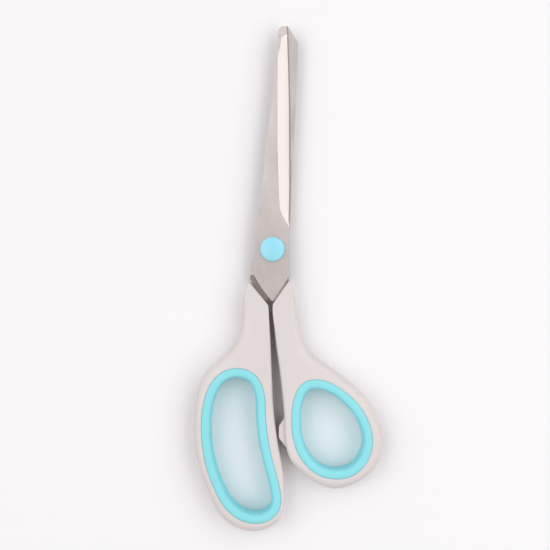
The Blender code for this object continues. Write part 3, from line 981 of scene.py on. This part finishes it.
def satin_steel(name, colour, roughness, line_width, tone=0.05, tip_painted_light=0.0, painted_shade_line=None):
    """Ground steel: fine lines across the blade, faint clouds, a few rubbed scratches.

    tip_painted_light brightens it towards the tip: painted light. painted_shade_line is a line,
    from start to end, and how far to its left the steel is darkened: painted shade, where a
    handle's front shades the blade.
    """
    material, tree, shader = new_material(name)
    shader.inputs["Metallic"].default_value = 1.0
    lines = noise(tree, (350.0, 1.0 / (line_width * MM), 350.0), detail=3.0, rough=0.65)
    clouds = noise(tree, (90.0, 60.0, 90.0), detail=3.0)
    scratches = noise(tree, (160.0, 5200.0, 160.0), detail=1.0, turn=(0.0, 0.0, SCRATCH_TURN))
    rubbed = remap(tree, scratches, 0.0, 1.0, start=0.68, end=0.74)
    mixed = maths(tree, "ADD", maths(tree, "MULTIPLY", lines, 0.6),
                  maths(tree, "MULTIPLY", clouds, 0.4))
    steel_colour = shade(tree, colour, remap(tree, mixed, 0.0, 1.0, start=0.35, end=0.65),
                     darkest=1 - tone, lightest=1 + tone)
    # Painted light: the colour grows lighter towards the tip.
    if tip_painted_light:
        along = add_node(tree, "ShaderNodeSeparateXYZ", {
            "Vector": add_node(tree, "ShaderNodeTexCoord").outputs["Object"]}).outputs["Y"]
        start, end = (PIVOT.y + TIP_LIGHT_FROM) * MM, (PIVOT.y + TIP_LIGHT_TO) * MM
        gain = remap(tree, along, 1.0, 1.0 + tip_painted_light, start, end)
        steel_colour = add_node(tree, "ShaderNodeVectorMath", {0: steel_colour, 1: gain},
                            operation="MULTIPLY").outputs["Vector"]
    # Painted shade: beside the line the colour is darkened, for the shade that a handle's front
    # casts on the blade.
    if painted_shade_line:
        painted_shade = (*[channel * PAINTED_SHADE_SHARE for channel in colour], 1.0)
        steel_colour = mix(tree, beside_line(tree, *painted_shade_line), steel_colour, painted_shade)
    tree.links.new(steel_colour, shader.inputs["Base Color"])
    rough = maths(tree, "ADD", remap(tree, mixed, roughness - 0.05, roughness + 0.05),
                  maths(tree, "MULTIPLY", rubbed, 0.06))
    tree.links.new(rough, shader.inputs["Roughness"])
    tree.links.new(bump(tree, lines, BRUSH_DEPTH), shader.inputs["Normal"])
    return material


def moulded_plastic(name, colour, roughness, grain, grain_depth):
    """Moulded surface: a fine spark-eroded grain and slow changes of tone."""
    material, tree, shader = new_material(name)
    fine = noise(tree, (1.0 / (grain * MM),) * 3, detail=2.0)
    slow = noise(tree, (45.0,) * 3, detail=2.0)
    toned = shade(tree, colour, remap(tree, slow, 0.0, 1.0), darkest=0.975, lightest=1.02)
    tree.links.new(toned, shader.inputs["Base Color"])
    tree.links.new(remap(tree, fine, roughness - 0.06, roughness + 0.06), shader.inputs["Roughness"])
    tree.links.new(bump(tree, fine, grain_depth * MM), shader.inputs["Normal"])
    return material


def turned_steel(name, colour, roughness):
    """Machined steel: fine rings about the pivot's axis."""
    material, tree, shader = new_material(name)
    shader.inputs["Metallic"].default_value = 1.0
    centre = place(tree, (1.0, 1.0, 1.0), shift=(-PIVOT.x * MM, -PIVOT.y * MM, 0.0))
    rings = add_node(tree, "ShaderNodeTexWave", {
        "Vector": centre, "Scale": 900.0, "Distortion": 0.6, "Detail": 2.0,
    }, wave_type="RINGS", rings_direction="Z").outputs["Fac"]
    clouds = noise(tree, (300.0,) * 3)
    toned = shade(tree, colour, remap(tree, clouds, 0.0, 1.0), darkest=0.94, lightest=1.03)
    tree.links.new(toned, shader.inputs["Base Color"])
    rough = remap(tree, rings, roughness - 0.04, roughness + 0.06, start=0.0, end=1.0)
    tree.links.new(rough, shader.inputs["Roughness"])
    tree.links.new(bump(tree, rings, RING_DEPTH), shader.inputs["Normal"])
    return material


STEEL = satin_steel("satin_steel", (0.80, 0.735, 0.705), roughness=0.34, line_width=0.16)
# The upper blade's satin steel, with painted light brightening it towards the tip and painted shade
# along the thumb handle's straight front, where the handle shades the blade.
UPPER_STEEL = satin_steel("satin_steel_upper", (0.775, 0.705, 0.68), roughness=0.34,
                          line_width=0.16, tip_painted_light=0.17,
                          painted_shade_line=(THUMB_HANDLE[0], THUMB_HANDLE[-1], 1.0))
# Dark, rough steel for the lower blade's tang: painted shade, for the dark slot between the upper
# blade's heel and the finger handle.
TANG_SHADE_STEEL = satin_steel("tang_shade_steel", (0.325, 0.28, 0.262), roughness=0.5, line_width=0.3)
GROUND_STEEL = satin_steel("ground_steel", (0.47, 0.435, 0.415), roughness=0.2,
                           line_width=0.11, tone=0.03)
PLASTIC = moulded_plastic("warm_grey_plastic", (0.675, 0.625, 0.61), roughness=0.44,
                          grain=0.2, grain_depth=0.012)
RUBBER = moulded_plastic("teal_rubber", (0.25, 0.70, 0.755), roughness=0.55,
                         grain=0.16, grain_depth=0.014)
CAP_PLASTIC = moulded_plastic("teal_cap_plastic", (0.30, 0.70, 0.83), roughness=0.3,
                              grain=0.3, grain_depth=0.004)
HARDWARE = turned_steel("turned_steel", (0.66, 0.645, 0.63), roughness=0.26)


# Pieces

def build_object():
    """The ten pieces, each in place of its CAD node."""
    upper = make_blade("upper_blade_ground", UPPER_SPINE, UPPER_EDGE, upper_foot,
                       UPPER_LOW, UPPER_HIGH, 1)
    make_piece("upper_blade_ground", upper, (UPPER_STEEL, GROUND_STEEL), "thumb_side",
               "upper_blade", sharp=BLADE_SHARP)
    lower = make_blade("lower_blade_ground", LOWER_SPINE, LOWER_EDGE, lower_foot,
                       LOWER_LOW, LOWER_HIGH, -1)
    # Painted shade: the lower blade's tang gets the dark steel.
    for face in lower.polygons:
        if face.center.y < TANG_SHADE_END:
            face.material_index = TANG_SHADE
    make_piece("lower_blade_ground", lower, (STEEL, GROUND_STEEL, TANG_SHADE_STEEL), "finger_side",
               "lower_blade", sharp=BLADE_SHARP)

    thumb = make_handle("thumb_handle_moulded", THUMB_HANDLE, THUMB_SEAT, gap_side=-1)
    nub = slab(round_corners(STOP_NUB, NUB_CORNER), NUB_LOW, NUB_HIGH, NUB_ROUND, "nub")
    thumb = combine(thumb, nub, "UNION")
    thumb = combine(thumb, tang_tool(UPPER_SPINE, UPPER_EDGE, UPPER_LOW, UPPER_HIGH), "DIFFERENCE")
    make_piece("thumb_handle_moulded", thumb, (PLASTIC,), "thumb_side",
               "thumb_handle")
    finger = make_handle("finger_handle_moulded", FINGER_HANDLE, FINGER_SEAT, gap_side=1)
    finger = combine(finger, tang_tool(LOWER_SPINE, LOWER_EDGE, LOWER_LOW, LOWER_HIGH), "DIFFERENCE")
    make_piece("finger_handle_moulded", finger, (PLASTIC,), "finger_side",
               "finger_handle")
    make_piece("thumb_lining", make_lining("thumb_lining", THUMB_SEAT), (RUBBER,),
               "thumb_side", "thumb_grip")
    make_piece("finger_lining", make_lining("finger_lining", FINGER_SEAT), (RUBBER,),
               "finger_side", "finger_grip")

    make_piece("pivot_cap_dome", make_cap(), (CAP_PLASTIC,), "finger_side",
               "pivot_cap")
    make_piece("pivot_screw_turned", make_screw(), (HARDWARE,), "finger_side",
               "pivot_screw")
    make_piece("wave_washer_sprung", make_washer(), (HARDWARE,), "finger_side",
               "wave_washer")
    make_piece("pivot_nut_hexagon", make_nut(), (HARDWARE,), "finger_side",
               "pivot_nut")


# Studio

# The camera looks straight down, from this far over the plane between the
# blades, at a square field this wide.
CAMERA_PLACE = Vector((1.1, -11.0))
CAMERA_DISTANCE = 500.0
FIELD = 235.1
SENSOR = 36.0
# The studio's walls and ceiling: bright on both sides, darker straight above the
# object and at its two ends, dimmer towards the floor, and brighter beyond the
# tips than beyond the handles.
SKY_SIDES, SKY_ZENITH, SKY_LOW = 1.32, 0.27, 0.42
SKY_STRETCH = (1.0, 0.2, 0.0)
SKY_DARK_TO, SKY_BRIGHT_FROM = 0.11, 0.34
SKY_LOW_TO, SKY_HIGH_FROM = 0.2, 0.88
SKY_FAR_GAIN = 0.3
SKY_COLOUR = (1.0, 0.99, 1.0, 1.0)
# Soft boxes: place and size in millimetres, and watts. The key stands on the
# right and runs along the blades, and the fill stands on the left.
KEY = ((520.0, 30.0, 560.0), (1300.0, 600.0), 1.8)
FILL = ((-520.0, 30.0, 700.0), (420.0, 800.0), 1.3)
FLOOR_COLOUR = (0.86, 0.845, 0.855, 1.0)
FLOOR_ROUGHNESS = 0.9
FLOOR_HALF = 4.0


def soft_box(name, place_mm, size_mm, power):
    """A plain white area light that faces the object."""
    light = bpy.data.lights.new(name, "AREA")
    light.shape = "RECTANGLE"
    light.size, light.size_y = size_mm[0] * MM, size_mm[1] * MM
    light.energy = power
    item = bpy.data.objects.new(name, light)
    bpy.context.scene.collection.objects.link(item)
    item.location = Vector(place_mm) * MM
    item.rotation_euler = (-item.location).to_track_quat("-Z", "Y").to_euler()


def build_studio():
    """Light, floor and camera."""
    scene = bpy.context.scene
    world = bpy.data.worlds.new("studio")
    world.use_nodes = True
    tree = world.node_tree
    direction = add_node(tree, "ShaderNodeTexCoord").outputs["Generated"]
    flattened = add_node(tree, "ShaderNodeVectorMath", {0: direction, 1: SKY_STRETCH},
                         operation="MULTIPLY").outputs["Vector"]
    aside = add_node(tree, "ShaderNodeVectorMath", {0: flattened},
                     operation="LENGTH").outputs["Value"]
    sky = add_node(tree, "ShaderNodeMapRange", {
        "Value": aside, "From Min": SKY_DARK_TO, "From Max": SKY_BRIGHT_FROM,
        "To Min": SKY_ZENITH, "To Max": SKY_SIDES,
    }, interpolation_type="SMOOTHSTEP").outputs["Result"]
    parts = add_node(tree, "ShaderNodeSeparateXYZ", {"Vector": direction}).outputs
    raised = add_node(tree, "ShaderNodeMapRange", {
        "Value": parts["Z"], "From Min": SKY_LOW_TO, "From Max": SKY_HIGH_FROM,
        "To Min": SKY_LOW, "To Max": 1.0,
    }, interpolation_type="SMOOTHSTEP").outputs["Result"]
    sky = maths(tree, "MULTIPLY", sky, raised)
    far_gain = maths(tree, "ADD", maths(tree, "MULTIPLY", parts["Y"], SKY_FAR_GAIN), 1.0)
    sky = maths(tree, "MULTIPLY", sky, far_gain)
    background = tree.nodes["Background"]
    background.inputs["Color"].default_value = SKY_COLOUR
    tree.links.new(sky, background.inputs["Strength"])
    scene.world = world
    soft_box("key_right", *KEY)
    soft_box("fill_left", *FILL)
    scene.view_settings.view_transform = "Standard"

    floor_material, tree, shader = new_material("pale_floor")
    shader.inputs["Roughness"].default_value = FLOOR_ROUGHNESS
    shader.inputs["Base Color"].default_value = FLOOR_COLOUR
    floor_shape = bmesh.new()
    bmesh.ops.create_grid(floor_shape, x_segments=1, y_segments=1, size=FLOOR_HALF)
    floor = bpy.data.objects.new("floor", to_mesh(floor_shape, "floor"))
    floor.data.materials.append(floor_material)
    scene.collection.objects.link(floor)

    camera = bpy.data.cameras.new("camera")
    camera.sensor_width = SENSOR
    camera.lens = SENSOR * CAMERA_DISTANCE / FIELD
    item = bpy.data.objects.new("camera", camera)
    scene.collection.objects.link(item)
    over = (CAMERA_PLACE.x + PIVOT.x, CAMERA_PLACE.y + PIVOT.y, SHEAR_PLANE + CAMERA_DISTANCE)
    item.location = Vector(over) * MM
    scene.camera = item


build_object()
build_studio()
